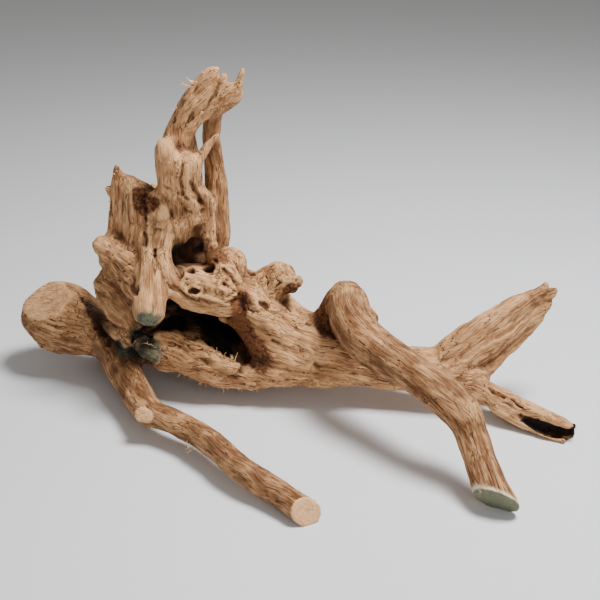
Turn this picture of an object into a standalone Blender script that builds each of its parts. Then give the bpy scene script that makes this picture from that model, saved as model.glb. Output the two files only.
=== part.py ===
"""Dry driftwood root: a gnarled root that weathered as one piece.

The root stands on its own limbs. A hollow crown rises on the left with a tall frayed blade, a sawn
stump points left, one leg runs forward from under the crown, another arches off the trunk, and the
trunk ends on the right in a fork of two broken points.

Every limb is a bundle of round strands, because wood of this kind grew as roots that fused. The
strands are fused into one body, thinned, hollowed and sawn.
"""

import bpy
import bmesh
from mathutils import Vector

MM = 0.001

# Driving dimensions, in millimetres.
FUSE_VOXEL = 3.0            # grid on which the strands are fused
HOLLOW_VOXEL = 5.0          # grid on which each hollow's strands are fused
SMOOTHING_ROUNDS = 3
END_TAPER = 0.5             # length and end radius of a strand's tip, as shares of its radius
KEPT_FACES = 0.14           # share of the fused faces that the finished solid keeps
FLOOR_BLOCK = 600.0
BASE_SHIFT = (13.0, 31.5, 0.0)   # from the layout's origin, under the trunk, to the centre of the base

WOOD_COLOUR = (0.35, 0.22, 0.13, 1.0)
WOOD_ROUGHNESS = 0.8

# Routes of the strands, by limb: (x, y, z, radius) at each bend, in millimetres, in the layout's frame,
# with x along the trunk, y away from the front and z up from the ground.
TRUNK = (
    ((-65, 34, 88, 14), (-31, 26, 82, 15), (0, 16, 60, 14), (33, 6, 49, 12), (73, -6, 44, 10), (113, -14, 45, 9)),
    ((-60, 20, 70, 16), (-26, 8, 64, 20), (10, 2, 48, 19), (49, -6, 39, 15), (89, -13, 34, 14), (125, -20, 37, 13)),
    ((-116, 6, 36, 12), (-97, 2, 37, 15), (-77, -3, 32, 15), (-53, -7, 24, 10), (-20, -8, 29, 13),
     (15, -10, 29, 13), (53, -13, 28, 10), (89, -18, 25, 9), (127, -25, 25, 9)),
    ((-91, 62, 40, 21), (-43, 44, 41, 22), (8, 26, 39, 18), (58, 10, 35, 14), (106, -6, 33, 10)),
    ((-78, 38, 32, 14), (-48, 26, 34, 17), (-16, 10, 36, 18), (20, 0, 38, 16)),
)
UPPER_FORK = (
    ((113, -14, 47, 9), (130, -13, 62, 9), (148, -10, 74, 9), (172, -3, 86, 9), (191, 4, 93, 6), (203, 8, 96, 3)),
    ((124, -20, 41, 11), (148, -14, 57, 12), (170, -6, 69, 10), (190, 2, 81, 8), (201, 5, 88, 5)),
    ((133, -24, 30, 11), (148, -18, 38, 9), (161, -12, 48, 7), (176, -5, 58, 6), (191, 0, 72, 5), (198, 3, 81, 3)),
)
LOWER_FORK = (
    ((127, -24, 27, 10), (150, -32, 23, 9), (170, -42, 19, 8), (192, -55, 15, 6), (210, -66, 12, 5)),
    ((146, -24, 15, 7), (173, -32, 6, 6), (195, -46, 4, 6), (212, -58, 3, 5)),
    ((153, -38, 17, 6), (175, -52, 7, 5), (191, -62, 4, 4), (206, -68, 3, 4)),
)
ARCH_LEG = (
    ((15, 18, 50, 12), (25, 12, 70, 13), (37, -4, 92, 16), (40, -24, 85, 18), (50, -45, 77, 17), (65, -62, 72, 16),
     (80, -80, 70, 15), (94, -95, 66, 14), (107, -106, 60, 15), (116, -115, 53, 14), (121, -123, 43, 12),
     (126, -136, 31, 12), (131, -149, 18, 13), (137, -163, 7, 15), (141, -173, -1, 14)),
)
FRONT_LEG = (
    ((-160, 30, 39, 16), (-152, 12, 27, 15), (-139, -14, 24, 14), (-129, -34, 20, 13), (-117, -57, 21, 12),
     (-98, -70, 20, 10), (-79, -84, 19, 10), (-60, -106, 19, 10), (-41, -130, 17, 10), (-19, -147, 13, 10),
     (-2, -162, 10, 10), (12, -176, 8, 11)),
    ((-119, -54, 21, 8), (-121, -76, 28, 6)),
)
STUMP = (
    ((-160, 42, 33, 17), (-181, 48, 39, 25), (-202, 54, 46, 32), (-217, 57, 49, 31), (-227, 58, 50, 25)),
    ((-146, 46, 16, 10), (-162, 56, 10, 12), (-178, 68, 12, 10)),
)
CROWN = (
    ((-163, 52, 42, 17), (-139, 58, 53, 22), (-112, 60, 72, 24), (-82, 58, 72, 26), (-51, 50, 62, 22), (-22, 36, 56, 12)),
    ((-168, 56, 24, 16), (-133, 66, 30, 19), (-89, 64, 32, 19), (-43, 44, 36, 19)),
    ((-133, 34, 88, 20), (-111, 34, 103, 21), (-87, 34, 97, 23), (-62, 32, 89, 20)),
    ((-131, 30, 110, 18), (-115, 28, 134, 19), (-98, 24, 156, 17)),
    ((-163, 22, 101, 13), (-153, 18, 91, 16), (-144, 16, 78, 18), (-133, 20, 64, 15)),
    ((-100, 12, 104, 11), (-83, 6, 105, 14), (-66, 6, 101, 14), (-55, 6, 94, 13)),
    ((-145, 22, 38, 15), (-125, 14, 37, 12), (-112, 8, 39, 12)),
    ((-53, 24, 79, 18), (-26, 16, 66, 18), (0, 8, 54, 16)),
    ((-63, 12, 100, 13), (-44, 8, 86, 16), (-23, 4, 68, 18), (0, 0, 54, 16), (24, -4, 45, 15)),
    ((-50, 8, 81, 10), (-36, 2, 62, 13), (-20, -4, 47, 15), (8, -8, 42, 15)),
    ((-46, 6, 71, 7), (-37, 0, 56, 8), (-28, -4, 40, 10), (-8, -8, 32, 10)),
    ((-118, 4, 46, 12), (-102, 0, 45, 12), (-82, -4, 38, 12), (-61, -7, 28, 11)),
)
CROWN_RIDGES = (
    ((-158, 10, 132, 8), (-155, 8, 133, 9), (-143, 4, 126, 9), (-131, 2, 115, 9), (-126, 4, 99, 10)),
    ((-115, 14, 156, 7), (-117, 8, 142, 7), (-117, 0, 128, 8), (-117, -8, 113, 11), (-118, -18, 98, 14),
     (-117, -26, 87, 13)),
    ((-97, 14, 163, 8), (-103, 8, 150, 8), (-106, 2, 136, 7), (-107, -2, 122, 8), (-101, -4, 108, 9),
     (-89, -6, 95, 10), (-73, -6, 90, 8), (-56, -4, 85, 8), (-48, 0, 86, 8)),
    ((-118, 14, 148, 7), (-100, 8, 150, 9), (-85, 6, 157, 7), (-75, 8, 160, 6), (-70, 8, 162, 5)),
    ((-72, 16, 157, 6), (-73, 14, 143, 7), (-70, 10, 129, 7), (-62, 6, 115, 9), (-54, 2, 101, 10)),
    ((-109, 4, 143, 5), (-110, 4, 121, 6), (-110, 2, 98, 7)),
    ((-158, 12, 123, 7), (-148, 10, 115, 10), (-138, 10, 107, 10), (-129, 8, 95, 10)),
)
PLATE = (
    ((-146, 24, 88, 13), (-146, 22, 114, 11), (-145, 20, 142, 9), (-142, 20, 167, 8), (-141, 20, 184, 7),
     (-142, 20, 192, 3)),
    ((-131, 22, 93, 14), (-130, 18, 121, 13), (-130, 16, 145, 12), (-128, 16, 165, 11), (-128, 16, 177, 9)),
    ((-137, 20, 182, 8), (-125, 20, 176, 8), (-112, 20, 163, 9)),
    ((-117, 14, 173, 10), (-118, 12, 154, 11), (-122, 12, 133, 12), (-127, 14, 117, 13)),
    ((-108, 14, 164, 9), (-107, 12, 149, 9)),
)
COLUMN = (
    ((-98, 26, 131, 18), (-95, 20, 159, 17), (-93, 14, 186, 16), (-92, 12, 202, 15)),
    ((-100, 8, 180, 10), (-102, 6, 200, 9), (-102, 6, 214, 8), (-102, 8, 218, 6)),
    ((-85, 10, 175, 10), (-83, 8, 192, 9), (-83, 8, 205, 8)),
    ((-82, 4, 184, 5), (-75, 4, 179, 5), (-69, 6, 170, 5), (-68, 8, 163, 5)),
    ((-81, 34, 137, 13), (-77, 34, 154, 10), (-77, 26, 169, 8)),
    ((-79, 20, 163, 8), (-74, 22, 157, 8)),
)
BLADE = (
    ((-99, 20, 192, 11), (-98, 22, 211, 10), (-91, 22, 232, 8), (-83, 22, 250, 6), (-70, 22, 263, 6),
     (-64, 22, 269, 5)),
    ((-95, 20, 205, 8), (-88, 22, 222, 8), (-78, 22, 238, 8), (-66, 22, 249, 7), (-57, 22, 258, 4),
     (-55, 22, 262, 2)),
    ((-76, 22, 236, 7), (-62, 22, 242, 7), (-51, 22, 250, 6), (-46, 22, 258, 4), (-42, 22, 270, 3)),
    ((-70, 24, 236, 6), (-57, 24, 241, 6), (-51, 23, 245, 5), (-43, 22, 251, 3)),
    ((-84, 26, 200, 7), (-86, 28, 214, 6), (-86, 28, 226, 6)),
)
REAR_BRANCH = (
    ((-77, 46, 104, 15), (-69, 48, 124, 11), (-69, 50, 144, 11), (-68, 50, 165, 10), (-69, 50, 187, 9),
     (-70, 46, 204, 8), (-69, 40, 220, 8), (-65, 32, 236, 7)),
    ((-104, 52, 130, 11), (-117, 58, 154, 9), (-122, 60, 165, 6)),
    ((-81, 12, 196, 4), (-72, 14, 210, 4), (-61, 16, 223, 3)),
)
REAR_FOOT = (
    ((-96, 66, 59, 15), (-95, 84, 34, 14), (-90, 98, 12, 11), (-88, 104, 2, 10)),
)
SHOULDER = (
    ((-64, 24, 100, 14), (-57, 24, 111, 14), (-49, 22, 114, 11)),
    ((-56, 22, 89, 15), (-41, 20, 91, 15), (-31, 20, 88, 15)),
    ((-31, 24, 79, 15), (-23, 18, 96, 16), (-13, 14, 105, 12), (-10, 12, 106, 10)),
    ((-10, 8, 100, 9), (-5, 4, 104, 6)),
)
LIMBS = (TRUNK, UPPER_FORK, LOWER_FORK, ARCH_LEG, FRONT_LEG, STUMP, CROWN, CROWN_RIDGES, PLATE, COLUMN, BLADE,
         REAR_BRANCH, REAR_FOOT, SHOULDER)

# Hollows, by route as well.
HOLLOWS = {
    "crown_mouth": (
        ((-112, -50, 58, 8), (-106, -20, 62, 10), (-98, 10, 62, 13), (-94, 40, 58, 12)),
        ((-92, -50, 52, 9), (-86, -20, 58, 13), (-80, 10, 60, 16), (-76, 46, 58, 14)),
        ((-76, -50, 46, 8), (-68, -20, 50, 11), (-60, 10, 54, 13), (-56, 40, 54, 12)),
        ((-64, -50, 38, 6), (-58, -20, 42, 8), (-50, 8, 46, 9)),
    ),
    "crown_window": (
        ((-92, -30, 126, 7), (-90, 0, 124, 9), (-92, 22, 124, 9)),
        ((-82, -30, 134, 6), (-82, 0, 134, 7), (-84, 18, 132, 7)),
    ),
    "fork_pipe": (
        ((168, -51, 15, 3), (177, -55, 12, 4), (188, -60, 9, 5), (202, -66, 7, 6), (218, -72, 7, 6), (238, -80, 6, 7)),
    ),
}

# Saw cuts: a point on each sawn face, the direction that the face looks and the width that is cut.
SAW_CUTS = (
    ((-206, 42, 69), (-0.34, -0.38, 0.86), 100.0),
    ((7, -167, 11), (0.40, -0.85, 0.33), 50.0),
    ((-121, -72, 26), (-0.10, -0.93, 0.35), 18.0),
    ((136, -160, 13), (-0.35, -0.79, -0.50), 50.0),
)


def clear_scene():
    for item in list(bpy.data.objects):
        bpy.data.objects.remove(item, do_unlink=True)


def new_collection(name):
    collection = bpy.data.collections.new(name)
    bpy.context.scene.collection.children.link(collection)
    return collection


def layout_point(x, y, z):
    """A layout point in millimetres, as metres from the centre of the base."""
    return Vector((x + BASE_SHIFT[0], y + BASE_SHIFT[1], z + BASE_SHIFT[2])) * MM


def with_round_ends(route):
    """The route with a short taper added at both ends, so that no strand stops in a flat disc."""
    tips = []
    for (x, y, z, radius), inner in ((route[0], route[1]), (route[-1], route[-2])):
        end = Vector((x, y, z))
        tip = end + (end - Vector(inner[:3])).normalized() * radius * END_TAPER
        tips.append((*tip, radius * END_TAPER))
    return [tips[0], *route, tips[1]]


def strand_bundle(name, routes):
    """A curve object with one tube for each route."""
    curve = bpy.data.curves.new(name, "CURVE")
    curve.dimensions = "3D"
    curve.bevel_depth = MM
    curve.bevel_resolution = 3
    curve.resolution_u = 6
    curve.use_fill_caps = True
    for route in map(with_round_ends, routes):
        spline = curve.splines.new("BEZIER")
        spline.bezier_points.add(len(route) - 1)
        for bend, (x, y, z, radius) in zip(spline.bezier_points, route):
            bend.co = layout_point(x, y, z)
            bend.radius = radius
            bend.handle_left_type = "AUTO"
            bend.handle_right_type = "AUTO"
    return bpy.data.objects.new(name, curve)


def bundle_mesh(name, routes):
    """The bundle as a mesh whose end caps are welded to its tubes."""
    bundle = strand_bundle(name, routes)
    bpy.context.scene.collection.objects.link(bundle)
    evaluated = bundle.evaluated_get(bpy.context.evaluated_depsgraph_get())
    mesh = bpy.data.meshes.new_from_object(evaluated)
    bpy.data.objects.remove(bundle, do_unlink=True)
    shape = bmesh.new()
    shape.from_mesh(mesh)
    bmesh.ops.remove_doubles(shape, verts=shape.verts, dist=0.01 * MM)
    bmesh.ops.recalc_face_normals(shape, faces=shape.faces)
    shape.to_mesh(mesh)
    shape.free()
    return mesh


def fuse(item, voxel):
    """Fuse an object's overlapping tubes into one body."""
    remesh = item.modifiers.new("fuse", "REMESH")
    remesh.mode = "VOXEL"
    remesh.voxel_size = voxel * MM
    remesh.use_smooth_shade = True


def cut(item, cutter):
    boolean = item.modifiers.new(cutter.name, "BOOLEAN")
    boolean.operation = "DIFFERENCE"
    boolean.solver = "EXACT"
    boolean.object = cutter


def hide_cutter(item):
    item.hide_render = True
    item.display_type = "WIRE"


def make_block(name, side, collection):
    """A cube whose top face is centred on the object's origin."""
    shape = bmesh.new()
    bmesh.ops.create_cube(shape, size=side * MM)
    bmesh.ops.translate(shape, verts=shape.verts, vec=(0.0, 0.0, -side * MM / 2))
    mesh = bpy.data.meshes.new(name)
    shape.to_mesh(mesh)
    shape.free()
    block = bpy.data.objects.new(name, mesh)
    collection.objects.link(block)
    hide_cutter(block)
    return block


def make_saw_block(number, point, facing, width, collection):
    block = make_block(f"saw_cut_{number}", width, collection)
    block.location = layout_point(*point)
    block.rotation_mode = "QUATERNION"
    block.rotation_quaternion = (-Vector(facing)).to_track_quat("Z", "Y")
    return block


def make_hollow(name, routes, collection):
    hollow = bpy.data.objects.new(name, bundle_mesh(name, routes))
    collection.objects.link(hollow)
    fuse(hollow, HOLLOW_VOXEL)
    hide_cutter(hollow)
    return hollow


def wood_material():
    material = bpy.data.materials.new("dry_wood")
    material.use_nodes = True
    shader = material.node_tree.nodes["Principled BSDF"]
    shader.inputs["Base Color"].default_value = WOOD_COLOUR
    shader.inputs["Roughness"].default_value = WOOD_ROUGHNESS
    shader.inputs["Metallic"].default_value = 0.0
    return material


def make_root(collection, cutters):
    """All the limbs as one body, thinned, hollowed and sawn."""
    routes = [route for limb in LIMBS for route in limb]
    mesh = bundle_mesh("dry_root", routes)
    mesh.materials.append(wood_material())
    root = bpy.data.objects.new("dry_root", mesh)
    collection.objects.link(root)
    fuse(root, FUSE_VOXEL)
    smooth = root.modifiers.new("weathered", "SMOOTH")
    smooth.factor = 0.5
    smooth.iterations = SMOOTHING_ROUNDS
    thin = root.modifiers.new("thin", "DECIMATE")
    thin.ratio = KEPT_FACES
    for name, hollow_routes in HOLLOWS.items():
        cut(root, make_hollow(name, hollow_routes, cutters))
    for number, (point, facing, width) in enumerate(SAW_CUTS, start=1):
        cut(root, make_saw_block(number, point, facing, width, cutters))
    cut(root, make_block("ground", FLOOR_BLOCK, cutters))
    return root


def main():
    clear_scene()
    collection = new_collection("dry_root_parts")
    cutters = new_collection("cutters")
    make_root(collection, cutters)


main()
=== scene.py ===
"""Dry driftwood root, finished: weathered grain, cracks, knots, bark stain and frayed fibres.

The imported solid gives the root's body and its place. Here it grows its smaller prongs and ridges, is
fused and carved along its grain, thinned, and dressed in bare, dry wood.
"""

import logging
import math
from collections.abc import Callable
from dataclasses import dataclass, field
from enum import Enum

import bmesh
import bpy
import numpy as np
from mathutils import Matrix, Vector
from mathutils.bvhtree import BVHTree


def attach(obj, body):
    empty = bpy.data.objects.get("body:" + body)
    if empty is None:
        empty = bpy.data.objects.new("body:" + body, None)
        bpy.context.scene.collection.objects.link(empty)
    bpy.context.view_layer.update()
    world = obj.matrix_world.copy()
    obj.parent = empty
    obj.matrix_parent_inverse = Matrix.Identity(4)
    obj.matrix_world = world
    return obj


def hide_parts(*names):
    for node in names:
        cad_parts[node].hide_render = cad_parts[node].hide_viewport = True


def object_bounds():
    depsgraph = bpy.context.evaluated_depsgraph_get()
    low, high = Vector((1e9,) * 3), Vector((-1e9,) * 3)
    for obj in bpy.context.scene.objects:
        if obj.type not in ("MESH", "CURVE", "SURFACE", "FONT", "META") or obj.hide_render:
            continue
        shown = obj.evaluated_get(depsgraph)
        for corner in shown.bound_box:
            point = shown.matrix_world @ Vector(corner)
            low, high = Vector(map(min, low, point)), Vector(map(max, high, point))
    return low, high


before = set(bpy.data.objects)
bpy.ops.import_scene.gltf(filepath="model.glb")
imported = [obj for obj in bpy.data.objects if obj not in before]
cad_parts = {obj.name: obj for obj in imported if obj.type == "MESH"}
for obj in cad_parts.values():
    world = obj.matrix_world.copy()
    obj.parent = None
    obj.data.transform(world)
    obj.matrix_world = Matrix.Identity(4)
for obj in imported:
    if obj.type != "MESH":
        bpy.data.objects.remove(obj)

CAD_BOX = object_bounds()
NODE = "dry_root"
MM = 0.001
THINNEST = 0.12              # millimetres, the least radius of a strand
LINE_STEP = 7.0              # millimetres between samples of a heartwood line
LINE_APART = 0.9             # metres along the grain from one line's pattern to the next one's
SHELTER_RAYS = 12            # how many ways each point looks to see how shut in it is
RAY_LIFT = 0.0005            # metres off the surface where those looks start
BOX_MARGIN = 1e-6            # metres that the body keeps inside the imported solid's box
FIBRE_MARGIN = 0.0008        # the same for the middle of a loose fibre
LAYOUT_SHIFT = Vector((13.0, 31.5, 0.0))    # millimetres, from the layout's origin to the base's centre

log = logging.getLogger("dry_root")

Bend = tuple[float, float, float, float]
Point = tuple[float, float, float]
Colour = tuple[float, float, float, float]
Source = bpy.types.NodeSocket | float | tuple[float, ...]


def place(point: Point) -> Vector:
    """A layout point in millimetres as metres from the centre of the root's base."""
    return (Vector(point[:3]) + LAYOUT_SHIFT) * MM


def place_rows(rows: np.ndarray) -> np.ndarray:
    """Layout points in millimetres, one to a row, as metres from the centre of the root's base."""
    return (rows[:, :3] + np.array(LAYOUT_SHIFT)) * MM


def show(name: str, data: bpy.types.ID) -> bpy.types.Object:
    """Put a mesh, a lamp or a camera in the scene as an object of that name."""
    item = bpy.data.objects.new(name, data)
    bpy.context.scene.collection.objects.link(item)
    return item


# ---------------------------------------------------------------- noise


class SolidNoise:
    """Smooth gradient noise in space, the same on every run."""

    def __init__(self, seed: int = 7) -> None:
        """Lay out the table of directions.

        Args:
            seed: picks the table.
        """
        source = np.random.default_rng(seed)
        self.order = np.concatenate([source.permutation(256)] * 3)
        directions = source.normal(size=(256, 3))
        self.directions = directions / np.linalg.norm(directions, axis=1)[:, None]

    def __call__(self, points: np.ndarray) -> np.ndarray:
        """The noise at each point, from about -1 to 1, with features about one unit wide.

        Args:
            points: an array of points, one to a row.

        Returns:
            One value a point.
        """
        cell = np.floor(points).astype(np.int64)
        inside = points - cell
        cell &= 255
        ease = inside * inside * inside * (inside * (inside * 6 - 15) + 10)
        total = np.zeros(len(points))
        for corner in np.ndindex(2, 2, 2):
            at = cell + corner
            key = self.order[at[:, 0] & 255]
            key = self.order[key + (at[:, 1] & 255)]
            key = self.order[key + (at[:, 2] & 255)]
            away = inside - corner
            reach = np.prod(np.where(np.array(corner) == 1, ease, 1 - ease), axis=1)
            total += reach * np.einsum("ij,ij->i", self.directions[key], away)
        return total * 1.5

    def layered(self, points: np.ndarray, layers: int) -> np.ndarray:
        """Several sizes of noise laid over each other, each half as wide and half as strong.

        Args:
            points: an array of points.
            layers: how many sizes.

        Returns:
            One value a point.
        """
        total = np.zeros(len(points))
        for layer in range(layers):
            total += self(points * 2.0 ** layer + 17.3 * layer) / 2.0 ** layer
        return total

    def sway(self, points: np.ndarray, pitch: float, offsets: Point) -> np.ndarray:
        """Three noises side by side at each point, of one pitch, from three places in the noise."""
        return np.stack([self(points * pitch + offset) for offset in offsets], axis=1)


def smooth_step(low: float, high: float, value: np.ndarray) -> np.ndarray:
    """Values eased from 0 at low to 1 at high, where low may be the larger of the two."""
    part = np.clip((value - low) / (high - low), 0.0, 1.0)
    return part * part * (3 - 2 * part)


# ---------------------------------------------------------------- routes


def eased_route(bends: tuple[Bend, ...], step: float) -> np.ndarray:
    """A smooth curve through the bends.

    Args:
        bends: x, y, z and radius at each bend, in layout millimetres.
        step: the distance between samples, in millimetres.

    Returns:
        Rows of x, y, z and radius, in layout millimetres.
    """
    knots = np.array(bends, dtype=float)
    knots = np.vstack([2 * knots[0] - knots[1], knots, 2 * knots[-1] - knots[-2]])
    rows = []
    for a, b, c, d in zip(knots, knots[1:], knots[2:], knots[3:]):
        count = max(1, round(np.linalg.norm(c[:3] - b[:3]) / step))
        for t in np.arange(count) / count:
            rows.append(0.5 * (2 * b + (c - a) * t + (2 * a - 5 * b + 4 * c - d) * t ** 2
                               + (3 * b - a - 3 * c + d) * t ** 3))
    rows.append(knots[-2])
    return np.array(rows)


def grow_strand(shape: bmesh.types.BMesh, bends: tuple[Bend, ...], sides: int = 12,
                step: float = 3.0) -> None:
    """Grow a round strand along a route, by extruding a disc from bend to bend.

    Args:
        shape: the mesh that the strand is added to.
        bends: x, y, z and radius at each bend, in layout millimetres.
        sides: how many sides its section has.
        step: the distance between its rings, in millimetres.
    """
    route = eased_route(bends, step)
    centres = [place(tuple(row)) for row in route[:, :3]]
    radii = np.maximum(route[:, 3], THINNEST) * MM
    heading = (centres[1] - centres[0]).normalized()
    turned = Matrix.Translation(centres[0]) @ heading.to_track_quat("Z", "Y").to_matrix().to_4x4()
    ring = bmesh.ops.create_circle(shape, cap_ends=True, segments=sides, radius=radii[0], matrix=turned)
    cap = ring["verts"][0].link_faces[0]
    for index in range(1, len(centres)):
        last = cap
        grown = bmesh.ops.extrude_face_region(shape, geom=[last])["geom"]
        cap = next(item for item in grown if isinstance(item, bmesh.types.BMFace))
        if index > 1 and last.is_valid:
            bmesh.ops.delete(shape, geom=[last], context="FACES_ONLY")
        before, after = centres[index - 1], centres[index]
        onward = (centres[min(index + 1, len(centres) - 1)] - before).normalized()
        swing = heading.rotation_difference(onward).to_matrix().to_4x4()
        size = Matrix.Scale(radii[index] / radii[index - 1], 4)
        move = Matrix.Translation(after) @ swing @ size @ Matrix.Translation(-before)
        bmesh.ops.transform(shape, matrix=move, verts=list(cap.verts))
        heading = onward


# ---------------------------------------------------------------- grain


@dataclass(frozen=True)
class GrainLine:
    """One limb's heartwood line, which its grain follows."""

    name: str
    bends: tuple[Bend, ...]
    ruggedness: float = 0.5      # how lumpy and cracked its surface is
    stain: float = 0.0           # how much brown bark is left on it


GRAIN_LINES = (
    GrainLine("trunk", ((-70, 20, 78, 22), (-30, 8, 64, 26), (10, 2, 48, 26), (50, -5, 42, 22),
                        (90, -12, 38, 18), (128, -20, 38, 15)), 0.42, 0.05),
    GrainLine("strut", ((-145, 16, 44, 15), (-118, 4, 44, 13), (-82, -3, 37, 13), (-50, -8, 28, 12),
                        (0, -10, 28, 13)), 0.8, 0.2),
    GrainLine("upper_fork", ((118, -18, 42, 14), (148, -13, 60, 14), (172, -4, 76, 12),
                             (203, 6, 92, 6)), 0.45, 0.3),
    GrainLine("lower_fork", ((125, -24, 28, 12), (150, -32, 22, 10), (175, -44, 15, 9),
                             (212, -64, 8, 7)), 0.5, 0.2),
    GrainLine("arch_leg", ((20, 16, 55, 13), (27, 10, 75, 14), (38, -6, 92, 17), (40, -26, 85, 18),
                           (52, -46, 77, 17), (80, -80, 70, 15), (107, -106, 60, 15), (121, -123, 43, 12),
                           (131, -147, 17, 11), (141, -172, 2, 13)), 0.17, 0.95),
    GrainLine("front_leg", ((-158, 26, 39, 18), (-139, -14, 24, 15), (-117, -57, 21, 12), (-79, -84, 19, 10),
                            (-41, -130, 17, 10), (-2, -162, 10, 10), (14, -180, 8, 11)), 0.2, 1.0),
    GrainLine("stump", ((-150, 40, 34, 20), (-181, 48, 42, 26), (-205, 55, 50, 30),
                        (-232, 58, 54, 28)), 0.5, 0.75),
    GrainLine("crown_back", ((-163, 52, 42, 22), (-130, 60, 60, 26), (-90, 58, 70, 28), (-45, 46, 60, 24),
                             (10, 26, 42, 20)), 0.6, 0.2),
    GrainLine("plate", ((-135, 22, 85, 18), (-138, 20, 120, 15), (-136, 18, 150, 14),
                        (-134, 20, 188, 10)), 0.3, 0.1),
    GrainLine("lobe", ((-162, 10, 134, 9), (-143, 6, 122, 12), (-128, 4, 98, 14)), 0.9, 0.15),
    GrainLine("under_lobe", ((-165, 22, 104, 14), (-150, 17, 88, 18), (-132, 18, 60, 16)), 0.5, 0.5),
    GrainLine("thumb", ((-113, 16, 158, 8), (-117, 6, 140, 8), (-117, -2, 124, 9), (-117, -12, 108, 12),
                        (-118, -28, 84, 15)), 0.15, 0.1),
    GrainLine("arch_ridge", ((-95, 14, 168, 9), (-104, 8, 150, 9), (-107, 0, 130, 9), (-102, -4, 110, 10),
                             (-86, -7, 95, 11), (-66, -6, 88, 10), (-46, 0, 86, 9)), 0.5, 0.0),
    GrainLine("bulge", ((-104, 12, 106, 12), (-83, 6, 106, 15), (-62, 6, 100, 15), (-40, 8, 86, 16),
                        (-12, 4, 62, 18)), 0.75, 0.0),
    GrainLine("column", ((-98, 26, 125, 20), (-95, 20, 160, 19), (-93, 14, 190, 17), (-93, 16, 215, 13),
                         (-86, 20, 238, 11), (-70, 22, 256, 10), (-52, 22, 266, 7)), 0.28, 0.05),
    GrainLine("rear_branch", ((-77, 46, 100, 16), (-69, 48, 124, 12), (-69, 50, 150, 11), (-69, 50, 187, 10),
                              (-70, 44, 210, 8), (-64, 30, 240, 8)), 0.25, 0.7),
    GrainLine("shoulder", ((-60, 20, 95, 16), (-50, 22, 112, 13)), 0.8, 0.1),
    GrainLine("knob", ((-34, 22, 78, 16), (-20, 16, 98, 15), (-8, 8, 106, 9)), 0.8, 0.1),
    GrainLine("rear_foot", ((-96, 62, 62, 16), (-94, 86, 34, 13), (-88, 104, 2, 10)), 0.3, 0.6),
)


@dataclass
class GrainField:
    """Places on the surface, told along and across the two nearest heartwood lines."""

    first: np.ndarray            # metres along, and two ways across, the nearest line
    second: np.ndarray           # the same for the next line
    share: np.ndarray            # how much of the second line's grain shows, up to a half
    ruggedness: np.ndarray
    stain: np.ndarray

    def blend(self, pattern: Callable[[np.ndarray], np.ndarray], scale: Point) -> np.ndarray:
        """A pattern laid along the grain, eased from one line's grain into the next.

        Args:
            pattern: a function of points, such as a noise.
            scale: how many of its units lie in a metre along and across the grain.

        Returns:
            One value a point.
        """
        near = pattern(self.first * scale)
        far = pattern(self.second * scale)
        return near * (1 - self.share) + far * self.share


def measure_grain(points: np.ndarray, noise: SolidNoise) -> GrainField:
    """Tell each point along and across the two heartwood lines nearest to it.

    Args:
        points: places in metres, one to a row.
        noise: makes the grain wander.

    Returns:
        The grain field at those points.
    """
    count = len(points)
    ranks = [[np.full(count, 1e9), np.zeros((count, 3)), np.zeros((count, 2))] for _ in range(2)]
    for number, line in enumerate(GRAIN_LINES):
        route = eased_route(line.bends, LINE_STEP)
        spots = place_rows(route)
        radii = route[:, 3] * MM
        steps = np.diff(spots, axis=0)
        lengths = np.linalg.norm(steps, axis=1)
        run = np.concatenate([[0.0], np.cumsum(lengths)])
        best = np.full(count, 1e9)
        local = np.zeros((count, 3))
        across = Vector(steps[0]).orthogonal().normalized()
        for index, (start, step, length) in enumerate(zip(spots, steps, lengths)):
            heading = Vector(step / length)
            across = (across - heading * across.dot(heading)).normalized()
            other = heading.cross(across)
            offset = points - start
            reach = offset @ (step / length)
            if 0 < index < len(steps) - 1:
                reach = np.clip(reach, 0.0, length)
            elif index == 0:
                reach = np.minimum(reach, length)
            else:
                reach = np.maximum(reach, 0.0)
            part = np.clip(reach / length, 0.0, 1.0)
            aside = offset - part[:, None] * step
            radius = radii[index] * (1 - part) + radii[index + 1] * part
            score = np.linalg.norm(aside, axis=1) / radius
            closer = score < best
            best[closer] = score[closer]
            spot = (run[index] + reach, offset @ np.array(across), offset @ np.array(other))
            local[closer] = np.stack(spot, axis=1)[closer]
        local[:, 0] += LINE_APART * number
        fresh = [best, local, np.tile((line.ruggedness, line.stain), (count, 1))]
        for held in ranks:
            wins = fresh[0] < held[0]
            for index, (new, old) in enumerate(zip(fresh, held)):
                chosen = wins if new.ndim == 1 else wins[:, None]
                held[index], fresh[index] = np.where(chosen, new, old), np.where(chosen, old, new)
    (near, told, traits), (far, next_told, next_traits) = ranks
    share = 0.5 * smooth_step(0.7, 1.0, near / far)
    mixed = traits * (1 - share[:, None]) + next_traits * share[:, None]
    sway = noise.sway(points, 42.0, (11.0, 47.0, 83.0))
    sway += 0.1 * noise.sway(points, 120.0, (23.0, 61.0, 97.0))
    wander = sway * (0.0015 + 0.0055 * mixed[:, 0])[:, None]
    return GrainField(told + wander, next_told + wander, share, mixed[:, 0], mixed[:, 1])


# ---------------------------------------------------------------- marks


class MarkKind(Enum):
    """What a mark does to the surface."""

    PIT = "pit"
    KNOT = "knot"
    CRACK = "crack"
    RIDGE = "ridge"


@dataclass(frozen=True)
class Mark:
    """One mark on the surface, along a route or at one place."""

    kind: MarkKind
    spots: tuple[Point, ...]     # layout millimetres
    width: float                 # millimetres, to either side
    depth: float                 # millimetres


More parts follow.
